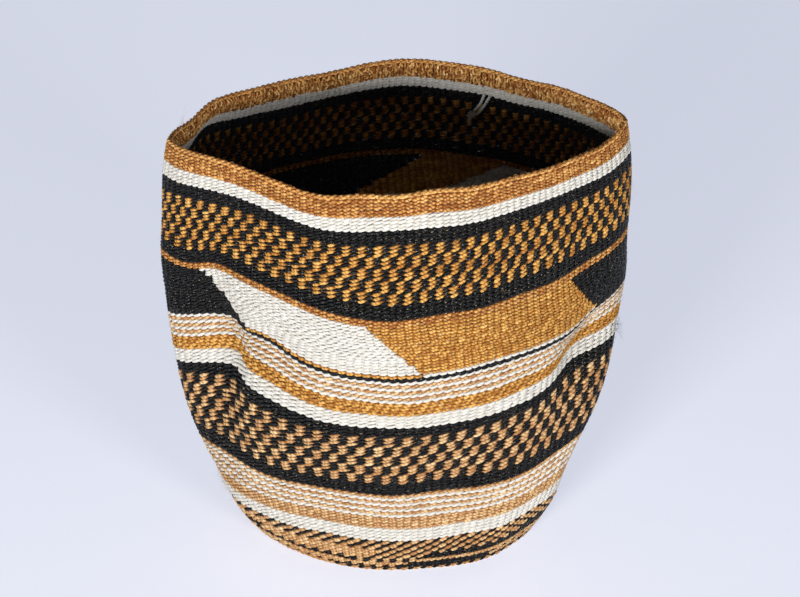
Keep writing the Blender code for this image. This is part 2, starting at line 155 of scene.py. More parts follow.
def even_points(line, angle, even):
    """Points at even places along a closed line, counted from where its angle is zero."""
    lengths = np.concatenate([[0], np.cumsum(np.linalg.norm(np.diff(line, axis=0), axis=1))])
    shares = (lengths - np.interp(0, angle, lengths)) / lengths[-1]
    wrapped = (even - shares[0]) % 1 + shares[0]
    return np.stack([np.interp(wrapped, shares, line[:, axis]) for axis in range(3)], axis=-1)


def cloth_grid():
    """Points on the outside of the cloth, and which way is inward, at even places round every half row."""
    rows = np.arange(TOP_ROW * GRID_STEPS, LAST_ROW * GRID_STEPS) / GRID_STEPS
    angle = np.linspace(-math.pi, math.pi, ANGLES + 1)
    lines = wall_outlines(angle, np.minimum(rows, WALL_ROWS))
    over_rim = np.minimum(rows, 0)[:, None, None]
    lines += over_rim * (lines[rows == 1] - lines[rows == 0])
    middle = (lines.max(axis=1) + lines.min(axis=1))[:, None] / 2
    closing = np.clip((rows - WALL_ROWS) / BASE_ROWS, 0, 1)[:, None, None]
    lines = middle + (lines - middle) * (1 - closing)
    even = np.arange(PLACES) / PLACES - 0.5
    points = np.stack([even_points(line, angle, even) for line in lines])
    along = np.roll(points, -TURN_PLACES, axis=1) - np.roll(points, TURN_PLACES, axis=1)
    step = np.arange(len(rows))
    below = points[np.minimum(step + TURN_ROWS * GRID_STEPS, len(rows) - 1)]
    down = below - points[np.maximum(step - TURN_ROWS * GRID_STEPS, 0)]
    inward = np.cross(along, down)
    inward /= np.linalg.norm(inward, axis=-1, keepdims=True)
    down /= np.linalg.norm(down, axis=-1, keepdims=True)
    calm = np.clip((WALL_ROWS - rows) / CALM_ROWS, 0, 1)[:, None, None]
    stand = unevenness(even[None], rows[:, None], UNEVEN_WAVES)[..., None]
    stray = unevenness(even[None], rows[:, None], WANDER_WAVES)[..., None]
    points += calm * (inward * stand * UNEVEN + down * stray * WANDER)
    return points + np.array(STANCE), inward


outside, inward_ways = cloth_grid()


def on_grid(grid, place, row):
    """The values of a grid at places round the cloth, counted from the front to the right, and rows."""
    across = (np.asarray(place) + 0.5) % 1 * PLACES
    down = np.clip((np.asarray(row) - TOP_ROW) * GRID_STEPS, 0, len(grid) - 1 - GRID_EDGE)
    i, j = across.astype(int) % PLACES, down.astype(int)
    s, t = (across - across.astype(int))[..., None], (down - j)[..., None]
    upper = grid[j, i] * (1 - s) + grid[j, (i + 1) % PLACES] * s
    lower = grid[j + 1, i] * (1 - s) + grid[j + 1, (i + 1) % PLACES] * s
    return upper * (1 - t) + lower * t


def in_cloth(place, row, depth):
    """Points at depths into the cloth from its outside."""
    return on_grid(outside, place, row) + on_grid(inward_ways, place, row) * np.asarray(depth)[..., None]


# How many warps cross in the middle, then the row where more are pushed in, how many, and how far that row
# varies. A new column grows over some rows from a share of its width, and columns wander a little.
FIRST_WARPS = 18
ADDED_WARPS = ((147, 18, 0), (141, 36, 0), (131, 36, 0), (122, 36, 0), (60, 14, 4), (45, 14, 4))
WARP_START_SHARE, WARP_GROWS_ROWS, COLUMN_WANDER = 0.4, 8, 0.0004


def warp_births():
    """The row where each warp starts, in order round the basket. Two at a time start alike."""
    births = [LAST_ROW + 1.0] * FIRST_WARPS
    for row, count, spread in ADDED_WARPS:
        every = len(births) / count
        scatter = np.repeat(chance.integers(-spread, spread + 1, count // 2), 2)
        for k in reversed(range(count)):
            births.insert(int((k + 0.5) * every) + 1, row + float(scatter[k]))
    return np.array(births)


births = warp_births()


def columns_at(row):
    """The sides of the columns at a row, one column to each warp, as places round the basket."""
    size = np.clip(WARP_START_SHARE + (births - row) / WARP_GROWS_ROWS, 0, 1)[births > row]
    sides = np.concatenate([[0], np.cumsum(size)]) / size.sum() - 0.5
    return sides + COLUMN_WANDER * unevenness(sides, row, COLUMN_WAVES)


def tube(centres, inward, tall, thick, sides, closed=False):
    """Rings of points round a middle line, tall along the cloth and thick through it."""
    if closed:
        along = np.roll(centres, -1, axis=0) - np.roll(centres, 1, axis=0)
    else:
        along = np.gradient(centres, axis=0)
    up = np.cross(along, inward)
    up /= np.linalg.norm(up, axis=1, keepdims=True)
    through = np.cross(up, along)
    through /= np.linalg.norm(through, axis=1, keepdims=True)
    turn = math.tau * np.arange(sides) / sides
    ups = (tall[:, None] * np.cos(turn))[..., None] * up[:, None]
    return centres[:, None] + ups + (thick[:, None] * np.sin(turn))[..., None] * through[:, None]


def tube_faces(count, sides, closed):
    """The squares of a tube, by ring and side, each with its corners anticlockwise from outside."""
    ring, side = np.meshgrid(np.arange(count if closed else count - 1), np.arange(sides), indexing="ij")
    corners = [(ring, side), (ring + 1, side), (ring + 1, side + 1), (ring, side + 1)]
    return np.stack([np.stack(corner, axis=-1) for corner in corners], axis=-2).reshape(-1, 4, 2)


def end_faces(count, sides):
    """The two flat ends of an open tube, cut into squares and numbered as those of its side are."""
    fans = [(0, k, k + 1, k + 2) for k in range(1, sides - 2, 2)]
    first = [[(0, side) for side in fan] for fan in fans]
    last = [[(count - 1, side) for side in reversed(fan)] for fan in fans]
    return np.array(first + last)


# On a piece's texture each tube lies in lanes. This share of a lane stays clear at each side of the tube.
LANE_GAP_SHARE = 0.06


def lay_in_lanes(tubes):
    """The corners of every face on the piece's texture, each tube cut into stretches and laid in lanes."""
    longest = max(t["length"][-1] for t in tubes)
    girth = max(t["girth"] for t in tubes)
    cuts = max(1, round(math.sqrt(longest / (girth * len(tubes)))))
    across, up, lane, lanes = [], [], 0, 0
    for t in tubes:
        t["cuts"] = max(1, math.ceil(cuts * t["length"][-1] / longest - 0.5))
        lanes += t["cuts"]
    for t in tubes:
        ring, side = t["corners"][..., 0], t["corners"][..., 1]
        stretch = (ring.min(axis=1) * t["cuts"] // max(1, t["count"])).clip(0, t["cuts"] - 1)[:, None]
        size = t["count"] / t["cuts"]
        across.append((ring - stretch * size) / (size + 1))
        within = LANE_GAP_SHARE + (1 - 2 * LANE_GAP_SHARE) * side / t["sides"]
        up.append((lane + stretch + within) / lanes)
        lane += t["cuts"]
    return np.stack([np.concatenate(across).ravel().clip(0, 1), np.concatenate(up).ravel()], axis=-1)


def new_tube(rings, closed=False, tone=0.5, dye=0.5, along=None):
    """What a piece needs to know of one tube: its rings, corners and length, and its shade at each ring."""
    count, sides = rings.shape[:2]
    middles = rings.mean(axis=1)
    ahead = np.roll(middles, -1, axis=0) if closed else middles[1:]
    steps = np.linalg.norm(ahead - middles[: len(ahead)], axis=1)
    corners = tube_faces(count, sides, closed)
    if not closed:
        corners = np.concatenate([corners, end_faces(count, sides)])
    ring = rings[count // 2]
    girth = np.linalg.norm(np.roll(ring, -1, axis=0) - ring, axis=1).sum()
    length = np.concatenate([[0], np.cumsum(steps)])
    return {
        "rings": rings, "count": count, "sides": sides, "corners": corners, "girth": girth,
        "length": length, "along": length if along is None else along,
        "tone": np.broadcast_to(tone, count), "dye": np.broadcast_to(dye, count),
    }


# Painted shade: how much darker a yarn is painted in the groove where it lies against the next row, and how
# narrow that groove is.
GROOVE_PAINTED_SHADE, GROOVE_NARROWNESS = 0.30, 4


def facing_next(sides):
    """How far each side of a tube faces the tubes above and below it, from 0 to 1, which is where painted
    groove shade falls.
    """
    return np.abs(np.cos(math.tau * np.arange(sides) / sides)) ** GROOVE_NARROWNESS


def make_piece(name, tubes, material, nodes=()):
    """One piece made of many tubes of one yarn, with its shades and its two texture maps."""
    points = np.concatenate([t["rings"].reshape(-1, 3) for t in tubes])
    faces, along, first = [], [], 0
    for t in tubes:
        ring, side = t["corners"][..., 0], t["corners"][..., 1]
        faces.append(first + (ring % t["count"]) * t["sides"] + side % t["sides"])
        spread = t["along"][np.minimum(ring, len(t["along"]) - 1)]
        along.append(np.stack([spread, side / t["sides"]], axis=-1).reshape(-1, 2))
        first += t["count"] * t["sides"]
    faces = np.concatenate(faces)
    mesh = bpy.data.meshes.new(name)
    mesh.vertices.add(len(points))
    mesh.vertices.foreach_set("co", points.astype(np.float32).ravel())
    mesh.loops.add(faces.size)
    mesh.loops.foreach_set("vertex_index", faces.astype(np.int32).ravel())
    mesh.polygons.add(len(faces))
    mesh.polygons.foreach_set("loop_start", np.arange(0, faces.size, 4, dtype=np.int32))
    mesh.update(calc_edges=True)
    mesh.uv_layers.new(name="OFBake").uv.foreach_set("vector", lay_in_lanes(tubes).astype(np.float32).ravel())
    mesh.uv_layers.new(name="yarn").uv.foreach_set("vector", np.concatenate(along).astype(np.float32).ravel())
    # The tone takes painted shade on the sides of each tube that face the next rows.
    for shade, groove in (("tone", GROOVE_PAINTED_SHADE), ("dye", 0)):
        values = [t[shade][:, None] - groove * facing_next(t["sides"]) for t in tubes]
        values = np.concatenate([value.ravel() for value in values]).astype(np.float32)
        attribute = mesh.attributes.new(shade, "FLOAT", "POINT")
        attribute.data.foreach_set("value", values)
    mesh.shade_smooth()
    mesh.materials.append(material)
    piece = bpy.data.objects.new(name, mesh)
    bpy.context.scene.collection.objects.link(piece)
    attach(piece, "root")
    if nodes:
        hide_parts(*nodes)
    return piece


def link_up(tree, *links):
    """Join the sockets of a node tree, given as pairs."""
    for start, end in links:
        tree.links.new(start, end)


def set_inputs(node, values):
    """Give a node's inputs plain values, by name."""
    for name, value in values.items():
        node.inputs[name].default_value = value


def add_math(tree, operation, *values):
    """A math node's output, fed with numbers and with other nodes' outputs."""
    node = tree.nodes.new("ShaderNodeMath")
    node.operation = operation
    for socket, value in zip(node.inputs, values):
        if isinstance(value, (int, float)):
            socket.default_value = value
        else:
            tree.links.new(value, socket)
    return node.outputs[0]


# Sisal close up. Two plies show as ribs, which every stitch meets at the same place, with painted shade
# between them. Fibres are noise drawn out along the yarn, and flecks, where a stray fibre lies on top, are
# the peaks of a finer noise.
RIBS_ROUND, RIB_START, RIB_ROUNDNESS, RIB_PAINTED_SHADE = 0.5, 0.125, 0.5, 0.45
FIBRE_DENSITY, FIBRE_SCALE, FIBRE_DETAIL, FIBRE_HEIGHT = 260, 5.5, 2.0, 0.6
FLECK_SCALE, FLECK_DETAIL, FLECK_FROM, FLECK_TO = 1300, 1.0, 0.66, 0.74


def sisal_group():
    """Sisal yarn close up: two plies laid round each other, painted shade between them, fine fibres along
    them, and stray pale fibres.
    """
    group = bpy.data.node_groups.new("sisal_fibres", "ShaderNodeTree")
    for name in ("Lay", "Ply"):
        group.interface.new_socket(name, in_out="INPUT", socket_type="NodeSocketFloat")
    for name in ("Height", "FibreAndRibShade", "Fleck"):
        group.interface.new_socket(name, in_out="OUTPUT", socket_type="NodeSocketFloat")
    given, put_out = group.nodes.new("NodeGroupInput"), group.nodes.new("NodeGroupOutput")
    place = group.nodes.new("ShaderNodeUVMap")
    place.uv_map = "yarn"
    split = group.nodes.new("ShaderNodeSeparateXYZ")
    link_up(group, (place.outputs["UV"], split.inputs[0]))
    lays = add_math(group, "DIVIDE", split.outputs["X"], given.outputs["Lay"])
    turn = add_math(group, "MULTIPLY", add_math(group, "ADD", split.outputs["Y"], lays), math.tau)
    lobe = add_math(group, "MULTIPLY_ADD", split.outputs["Y"], RIBS_ROUND, RIB_START)
    lobe = add_math(group, "MULTIPLY", add_math(group, "ADD", lobe, lays), math.tau)
    ply = add_math(group, "POWER", add_math(group, "ABSOLUTE", add_math(group, "SINE", lobe)), RIB_ROUNDNESS)
    spot = group.nodes.new("ShaderNodeCombineXYZ")
    link_up(
        group,
        (add_math(group, "MULTIPLY", split.outputs["X"], FIBRE_DENSITY), spot.inputs["X"]),
        (add_math(group, "COSINE", turn), spot.inputs["Y"]),
        (add_math(group, "SINE", turn), spot.inputs["Z"]),
    )
    fibres = group.nodes.new("ShaderNodeTexNoise")
    set_inputs(fibres, {"Scale": FIBRE_SCALE, "Detail": FIBRE_DETAIL})
    where = group.nodes.new("ShaderNodeTexCoord")
    flecks = group.nodes.new("ShaderNodeTexNoise")
    set_inputs(flecks, {"Scale": FLECK_SCALE, "Detail": FLECK_DETAIL})
    fleck = group.nodes.new("ShaderNodeMapRange")
    set_inputs(fleck, {"From Min": FLECK_FROM, "From Max": FLECK_TO})
    # Painted shade between the plies, added to the fibres, which set colour and gloss.
    between = add_math(group, "MULTIPLY", add_math(group, "SUBTRACT", ply, 1), given.outputs["Ply"])
    fibre = add_math(group, "MULTIPLY_ADD", between, RIB_PAINTED_SHADE, fibres.outputs["Fac"])
    rib_height = add_math(group, "MULTIPLY", ply, given.outputs["Ply"])
    fibre_height = add_math(group, "MULTIPLY", fibres.outputs["Fac"], FIBRE_HEIGHT)
    height = add_math(group, "ADD", rib_height, fibre_height)
    link_up(
        group,
        (spot.outputs[0], fibres.inputs["Vector"]),
        (where.outputs["Object"], flecks.inputs["Vector"]),
        (flecks.outputs["Fac"], fleck.inputs["Value"]),
        (height, put_out.inputs["Height"]),
        (fibre, put_out.inputs["FibreAndRibShade"]),
        (fleck.outputs["Result"], put_out.inputs["Fleck"]),
    )
    return group


sisal = sisal_group()

# The lay in which a yarn turns once, the depth of its relief, and how far fibres and the painted shade
# between plies change its colour and gloss.
YARN_LAY, RELIEF = 5 * MM, 0.30 * MM
GRAIN_AND_RIB_SHADE, GLOSS_SPREAD = 1.5, 0.3


def yarn_material(name, deep, middle, pale, other, fleck, fleck_share, rough, sheen=0.15, ply=0.6):
    """Dyed sisal: deep to pale by stitch and by painted shade, a drift towards another dye, and stray fibres
    as flecks.
    """
    material = bpy.data.materials.new(name)
    material.use_nodes = True
    tree = material.node_tree
    shader = tree.nodes["Principled BSDF"]
    set_inputs(shader, {"Metallic": 0, "Specular IOR Level": sheen})
    close = tree.nodes.new("ShaderNodeGroup")
    close.node_tree = sisal
    set_inputs(close, {"Lay": YARN_LAY, "Ply": ply})
    tone, dye = tree.nodes.new("ShaderNodeAttribute"), tree.nodes.new("ShaderNodeAttribute")
    tone.attribute_name, dye.attribute_name = "tone", "dye"
    grain_and_rib_shade = add_math(tree, "MULTIPLY_ADD", close.outputs["FibreAndRibShade"], GRAIN_AND_RIB_SHADE, -GRAIN_AND_RIB_SHADE / 2)
    shade = add_math(tree, "ADD", tone.outputs["Fac"], grain_and_rib_shade)
    matt = add_math(tree, "MULTIPLY_ADD", close.outputs["FibreAndRibShade"], -GLOSS_SPREAD, rough + GLOSS_SPREAD / 2)
    ramp = tree.nodes.new("ShaderNodeValToRGB")
    ramp.color_ramp.elements[0].color = (*deep, 1)
    ramp.color_ramp.elements[1].color = (*pale, 1)
    ramp.color_ramp.elements.new(0.5).color = (*middle, 1)
    drift, speck = tree.nodes.new("ShaderNodeMix"), tree.nodes.new("ShaderNodeMix")
    for mix in (drift, speck):
        mix.data_type = "RGBA"
    drift.blend_type = "MULTIPLY"
    drift.inputs["B"].default_value = (*other, 1)
    speck.inputs["B"].default_value = (*fleck, 1)
    bump = tree.nodes.new("ShaderNodeBump")
    set_inputs(bump, {"Distance": RELIEF, "Strength": 1})
    link_up(
        tree,
        (shade, ramp.inputs[0]),
        (ramp.outputs["Color"], drift.inputs["A"]),
        (dye.outputs["Fac"], drift.inputs["Factor"]),
        (drift.outputs["Result"], speck.inputs["A"]),
        (add_math(tree, "MULTIPLY", close.outputs["Fleck"], fleck_share), speck.inputs["Factor"]),
        (speck.outputs["Result"], shader.inputs["Base Color"]),
        (matt, shader.inputs["Roughness"]),
        (close.outputs["Height"], bump.inputs["Height"]),
        (bump.outputs["Normal"], shader.inputs["Normal"]),
    )
    return material


undyed_sisal = yarn_material(
    "undyed_sisal", (0.40, 0.32, 0.21), (0.62, 0.54, 0.41), (0.80, 0.73, 0.60), (0.85, 0.80, 0.70),
    (0.85, 0.80, 0.70), 0.5, 0.75
)

# A warp lies flat in the middle of the cloth, between the wefts that cross beside it, with a ring at every
# second row from below the turned rim to the middle of the base.
WARP_HALF_WIDTH, WARP_HALF_THICK, WARP_SIDES = 0.9 * MM, 0.32 * MM, 4
WARP_TOP_ROW, WARP_STEP_ROWS = 1.4, 2.0
BUNDLES = 12
warp_rows = np.arange(WARP_TOP_ROW, LAST_ROW - 0.5, WARP_STEP_ROWS)
warp_places = np.full((len(warp_rows), len(births)), np.nan)
for step, row in enumerate(warp_rows):
    sides = columns_at(row)
    warp_places[step, births > row] = (sides[1:] + sides[:-1]) / 2


def warp_tube(places):
    """One warp, from the row where it starts up to the rim."""
    alive = ~np.isnan(places)
    place, row = places[alive], warp_rows[alive]
    middle = in_cloth(place, row, np.full(len(row), WALL / 2))
    wide, thick = np.full(len(row), WARP_HALF_WIDTH), np.full(len(row), WARP_HALF_THICK)
    return new_tube(tube(middle, on_grid(inward_ways, place, row), wide, thick, WARP_SIDES))


bundle_of = (warp_places[0] % 1 * BUNDLES).astype(int)
for bundle in range(BUNDLES):
    warps = [warp_tube(warp_places[:, k]) for k in np.flatnonzero(bundle_of == bundle)]
    node = f"warp_bundle_{bundle + 1:02d}"
    make_piece(f"warps_{bundle + 1:02d}", warps, undyed_sisal, [node])


# Base. The twining starts over the crossed warps and goes round and round, flat, out to the edge: an undyed
# middle, then ochre rows, and black rows next to the mottled edge. Each row is two wefts.

# A weft's rings to a stitch and sides, how far it swings through the cloth and how fully, and its lean in
# rows. Then its half-height, as a share of a row, and half-thickness, at its crest over a warp and where it
# crosses beside one, and how its last rings taper where it ends inside the cloth.
WEFT_STEPS, WEFT_SIDES = 6, 6
WEFT_SWING, SWING_POWER, WEFT_LEAN_ROWS = 1.0 * MM, 0.75, 0.22
CREST_TALL_SHARE, CROSS_TALL_SHARE = 0.47, 0.25
CREST_THICK, CROSS_THICK = 0.92 * MM, 0.82 * MM
WEFT_END_SIZES = (0.6, 0.95, 1.0)

# How far stitches differ in size, place and tone, and crossings in place, and how tone and dye drift over so
# many stitches. A yarn is painted darker where it crosses and where it dips between its plies, as painted
# shade.
SIZE_SPREAD, SHIFT_SPREAD, TONE_SPREAD, RAGGED = 0.09, 0.06, 0.10, 0.07
TONE_DRIFT, TONE_DRIFT_STITCHES, DYE_DRIFT_STITCHES = 0.16, 9, 14
CROSS_PAINTED_SHADE, PLY_DIP_SHARE, PLY_PAINTED_SHADE = 0.68, 0.16, 0.22
SEEDS_A_ROW = 10


def drifting(count, every):
    """A value from 0 to 1 that drifts slowly round a row of stitches and meets itself."""
    knots = chance.uniform(0, 1, max(3, round(count / every)))
    return np.interp(np.arange(count), np.linspace(0, count, len(knots) + 1), np.append(knots, knots[0]))


def weft(row, lead, first=0, last=None, lean=WEFT_LEAN_ROWS, spread=TONE_SPREAD, bulk=1.0):
    """One weft of a twined row. It passes outside every second warp, and inside the others."""
    sides = columns_at(row + 0.5)
    count = len(sides) - 1
    closed = last is None
    last = count if closed else last
    column = np.arange(round(first * WEFT_STEPS), round(last * WEFT_STEPS) + (not closed)) / WEFT_STEPS
    # Both wefts of a row cross at the same places, so the row's number seeds the crossings.
    crossings = np.random.default_rng(round(row * SEEDS_A_ROW)).normal(0, RAGGED, count)
    place = column + np.interp(column % count, np.arange(count + 1), np.append(crossings, crossings[0]))
    place = np.interp(place % count, np.arange(count + 1), sides)
    stitch = column.astype(int) % count
    turn = math.pi * (column - 0.5 + lead)
    crest = np.abs(np.cos(turn))
    size = bulk + chance.normal(0, SIZE_SPREAD, count)[stitch]
    shift = chance.normal(0, SHIFT_SPREAD, count)[stitch] * crest
    at = row + 0.5 - lean * np.sin(turn) + shift
    depth = WALL / 2 - WEFT_SWING * np.sign(np.cos(turn)) * crest**SWING_POWER
    pitch = np.linalg.norm(on_grid(outside, place, row + 1) - on_grid(outside, place, row), axis=1)
    tall = pitch * (CROSS_TALL_SHARE + (CREST_TALL_SHARE - CROSS_TALL_SHARE) * crest) * size
    between = np.isclose(column % 1, 0.5)
    thick = (CROSS_THICK + (CREST_THICK - CROSS_THICK) * crest) * size * (1 - PLY_DIP_SHARE * between)
    if not closed:
        from_end = np.minimum(np.arange(len(column)), np.arange(len(column))[::-1])
        rounding = np.interp(from_end, range(len(WEFT_END_SIZES)), WEFT_END_SIZES)
        tall, thick = tall * rounding, thick * rounding
    rings = tube(in_cloth(place, at, depth), on_grid(inward_ways, place, at), tall, thick, WEFT_SIDES, closed)
    tone = 0.5 + chance.normal(0, spread, count) + (drifting(count, TONE_DRIFT_STITCHES) - 0.5) * TONE_DRIFT
    dye = drifting(count, DYE_DRIFT_STITCHES)
    along = YARN_LAY * np.append(column, last)
    # Painted shade, where the yarn dives at a crossing and where it dips between its plies.
    shade = CROSS_PAINTED_SHADE * (1 - crest) + PLY_PAINTED_SHADE * between
    return new_tube(rings, closed, (tone[stitch] - shade).clip(0, 1), dye[stitch], along)


ochre = yarn_material(
    "ochre_yarn", (0.29, 0.095, 0.021), (0.85, 0.49, 0.155), (0.98, 0.76, 0.38), (0.92, 0.80, 0.72),
    (1.0, 0.76, 0.36), 0.6, 0.7, ply=0.7
)
# Black sisal's pale flecks are stray undyed fibres, and partly painted glints.
black = yarn_material(
    "black_yarn", (0.001, 0.001, 0.001), (0.004, 0.004, 0.0045), (0.035, 0.035, 0.036), (0.9, 0.9, 1.0),
    (0.34, 0.32, 0.28), 0.7, 0.42, 0.15
)


def twined_rows(first, last, spread=TONE_SPREAD):
    """Both wefts of every row from one to another, all of one yarn."""
    return [weft(row, lead, spread=spread) for row in range(first, last) for lead in (0, 1)]


make_piece("base_middle", twined_rows(144, 151), undyed_sisal, ["base_centre"])
make_piece("base_ochre_rows", twined_rows(134, 144), ochre, ["base_inner_ring"])
make_piece("base_black_rows", twined_rows(126, 134), black, ["base_black_ring"])


# Mottled foot. Round the foot of the wall a black weft is twined with a tan one, and they change over at
# every row, so that the stitches run into slanting streaks. Whole rows of black or of tan lie between them.
tan = yarn_material(
    "tan_yarn", (0.40, 0.19, 0.074), (0.88, 0.64, 0.345), (0.98, 0.84, 0.60), (0.97, 0.88, 0.78),
    (0.95, 0.70, 0.44), 0.5, 0.7
)
# Where the foot's stretches meet at its top row, as places round the basket, and how each row is twined in
# them: black, tan, mixed, which changes over at every row, or in checks two rows high.
FOOT_STRETCHES = (-0.45, -0.11, 0.005, 0.075, 0.17)
FOOT_ROWS = (
    ("mixed",) * 5,
    ("mixed",) * 5,
    ("tan", "mixed", "mixed", "mixed", "mixed"),
    ("tan", "tan", "mixed", "mixed", "mixed"),
    ("black", "tan", "mixed", "mixed", "black"),
    ("black", "tan", "mixed", "black", "black"),
    ("mixed", "mixed", "check", "black", "black"),
    ("tan", "black", "check", "tan", "tan"),
    ("tan", "tan", "tan", "black", "mixed"),
    ("tan", "tan", "mixed", "black", "tan"),
    ("mixed", "mixed", "black", "black", "black"),
    ("tan", "tan", "mixed", "mixed", "mixed"),
    ("tan",) * 5,
    ("mixed",) * 5,
    ("tan",) * 5,
    ("mixed",) * 5,
    ("black",) * 5,
    ("mixed",) * 5,
    ("tan",) * 5,
    ("mixed",) * 5,
)
FOOT_TOP, FOOT_CHECK_ROWS = 106, 2
# The tan yarn is the thicker one, but in the checks the black stands out in knobs.
FOOT_BULK = {"black": 0.82, "tan": 1.18}
FOOT_CHECK_BULK = {"black": 1.2, "tan": 0.85}


def column_near(row, place, parts=1):
    """The column at a place, counted from the back, rounded to a whole one or to a part of one."""
    sides = columns_at(row + 0.5)
    return round(float(np.interp((place + 0.5) % 1 - 0.5, sides, np.arange(len(sides)))) * parts) / parts


def mottled_rows(first, last):
    """The black and the tan wefts of the mottled rows, in stretches that begin and end inside the cloth."""
    wefts = {"black": [], "tan": []}
    for row in range(first, last):
        count = len(columns_at(row + 0.5)) - 1
        ends = [column_near(row, place) - (row - FOOT_TOP) for place in FOOT_STRETCHES]
        ends.append(ends[0] + count)
        for start, end, kind in zip(ends, ends[1:], FOOT_ROWS[row - FOOT_TOP]):
            for lead in (0, 1):
                changes = {"mixed": row, "check": row // FOOT_CHECK_ROWS}
                colour = ("black", "tan")[(lead + changes[kind]) % 2] if kind in changes else kind
                bulk = FOOT_CHECK_BULK[colour] if kind == "check" else FOOT_BULK[colour]
                wefts[colour].append(weft(row, lead, start, end, bulk=bulk))
    return wefts


for part, first, last, node in (
    ("wall_foot", 106, 118, "marbled_band"),
    ("base_edge", 118, 126, "base_outer_ring"),
):
    wefts = mottled_rows(first, last)
    make_piece(f"{part}_black_yarn", wefts["black"], black, [node])
    make_piece(f"{part}_tan_yarn", wefts["tan"], tan, [node])


# Plain bands. Between the patterns lie plain bands of white, tan, golden, ochre and black yarn, two to four
# rows high. Both wefts of a row are of one yarn, and their stitches stand in ribs.
white = yarn_material(
    "white_yarn", (0.69, 0.67, 0.63), (0.80, 0.785, 0.755), (0.88, 0.87, 0.85), (0.97, 0.95, 0.91),
    (0.96, 0.95, 0.93), 0.4, 0.7, ply=0.35
)
golden = yarn_material(
    "golden_yarn", (0.35, 0.133, 0.024), (0.89, 0.53, 0.145), (0.98, 0.76, 0.39), (0.95, 0.86, 0.74),
    (1.0, 0.76, 0.36), 0.6, 0.7
)

for name, first, last, yarn, slot, node in (
    ("lower_white_rows", 102, 106, white, "white_yarn", "lower_white_band"),
    ("tan_rows", 98, 102, tan, "tan_yarn", "tan_band"),
    ("lower_black_rows", 86, 90, black, "black_yarn", "lower_black_band"),
    ("middle_black_rows", 68, 71, black, "black_yarn", "middle_black_band"),
    ("middle_white_rows", 64, 68, white, "white_yarn", "middle_white_band"),
    ("golden_rows", 60, 64, golden, "golden_yarn", "golden_band"),
    ("ochre_line_rows", 33, 35, ochre, "ochre_yarn", "ochre_line"),
    ("shoulder_black_rows", 29, 33, black, "black_yarn", "shoulder_black_band"),
    ("upper_black_rows", 10, 14, black, "black_yarn", "upper_black_band"),
    ("upper_white_rows", 6, 10, white, "white_yarn", "upper_white_band"),
):
    make_piece(name, twined_rows(first, last), yarn, [node])


# Stripes. Single rows of white and of tan yarn by turns make the two bands of fine wavy lines. Their stitches
# lean a little more than in the plain bands.
STRIPE_LEAN_ROWS = 0.26


def striped_rows(first, last):
    """Every second row of a striped band, both wefts."""
    return [weft(row, lead, lean=STRIPE_LEAN_ROWS) for row in range(first, last, 2) for lead in (0, 1)]


make_piece("lower_stripes_tan_yarn", striped_rows(90, 98), tan, ["lower_stripes"])
make_piece("lower_stripes_white_yarn", striped_rows(91, 98), white, ["lower_stripes"])
make_piece("upper_stripes_tan_yarn", striped_rows(54, 60), tan, ["upper_stripes"])
make_piece("upper_stripes_white_yarn", striped_rows(53, 60), white, ["upper_stripes"])


# Checks. A black weft and a coloured one are twined together, and each shows at every second warp. After
# three rows the two are twisted once more, and the checks change places. Inside, they are reversed.
CHECK_ROWS = 3


def checked_rows(first, last, colour):
    """The wefts of one colour in a checked band: 0 for the black ones and 1 for the others."""
    return [weft(row, (colour + (row - first) // CHECK_ROWS) % 2) for row in range(first, last)]


make_piece("lower_checks_black_yarn", checked_rows(71, 86, 0), black, ["lower_check_band"])
make_piece("lower_checks_tan_yarn", checked_rows(71, 86, 1), tan, ["lower_check_band"])
make_piece("upper_checks_black_yarn", checked_rows(14, 29, 0), black, ["upper_check_band"])
make_piece("upper_checks_golden_yarn", checked_rows(14, 29, 1), golden, ["upper_check_band"])


# Panels. Large slanting panels go round the middle. Each is twined to and fro between two slits, which step
# over from warp to warp on their way down, and its neighbours meet it there without being joined.
PANEL_TOP, PANEL_BOTTOM, PANEL_LEAN_ROWS = 35, 51, 0.14
# Where each joint lies at the top and bottom rows, as places round the basket from the front, and in how many
# parts of a column it steps over.
LEFT_JOINT, FRONT_JOINT, RIGHT_JOINT = (-0.167, -0.128, 1), (-0.022, 0.018, 3), (0.147, 0.177, 2)
RIGHT_BACK_JOINT, BACK_MIDDLE_JOINT, BACK_JOINT = (0.330, 0.400, 1), (0.400, 0.470, 1), (0.472, 0.540, 1)


def panel_rows(start, end, first=PANEL_TOP, last=PANEL_BOTTOM):
    """The wefts of a panel, row by row, between two slanting joints."""
    wefts = []
    for row in range(first, last):
        share = (row + 0.5 - PANEL_TOP) / (PANEL_BOTTOM - PANEL_TOP)
        count = len(columns_at(row + 0.5)) - 1
        left, right = (column_near(row, top + (low - top) * share, parts) for top, low, parts in (start, end))
        right += count * (right <= left)
        wefts += [weft(row, lead, left, right, PANEL_LEAN_ROWS) for lead in (0, 1)]
    return wefts


for name, start, end, yarn, slot in (
    ("left_black", BACK_JOINT, LEFT_JOINT, black, "black_yarn"),
    ("front_white", LEFT_JOINT, FRONT_JOINT, white, "white_yarn"),
    ("front_ochre", FRONT_JOINT, RIGHT_JOINT, golden, "golden_yarn"),
    ("right_black", RIGHT_JOINT, RIGHT_BACK_JOINT, black, "black_yarn"),
    ("back_white", RIGHT_BACK_JOINT, BACK_MIDDLE_JOINT, white, "white_yarn"),
    ("back_ochre", BACK_MIDDLE_JOINT, BACK_JOINT, golden, "golden_yarn"),
):
    make_piece(f"{name}_rows", panel_rows(start, end), yarn, [f"{name}_panel"])

# Under the panels a row changes colour with them. Then comes a thick black line, its yarn laid double.
THICK_LINE_ROWS = (51.8, 52.2)


def under_rows(start, end):
    """The row under a panel, between the same two joints."""
    return panel_rows(start, end, PANEL_BOTTOM, PANEL_BOTTOM + 1)


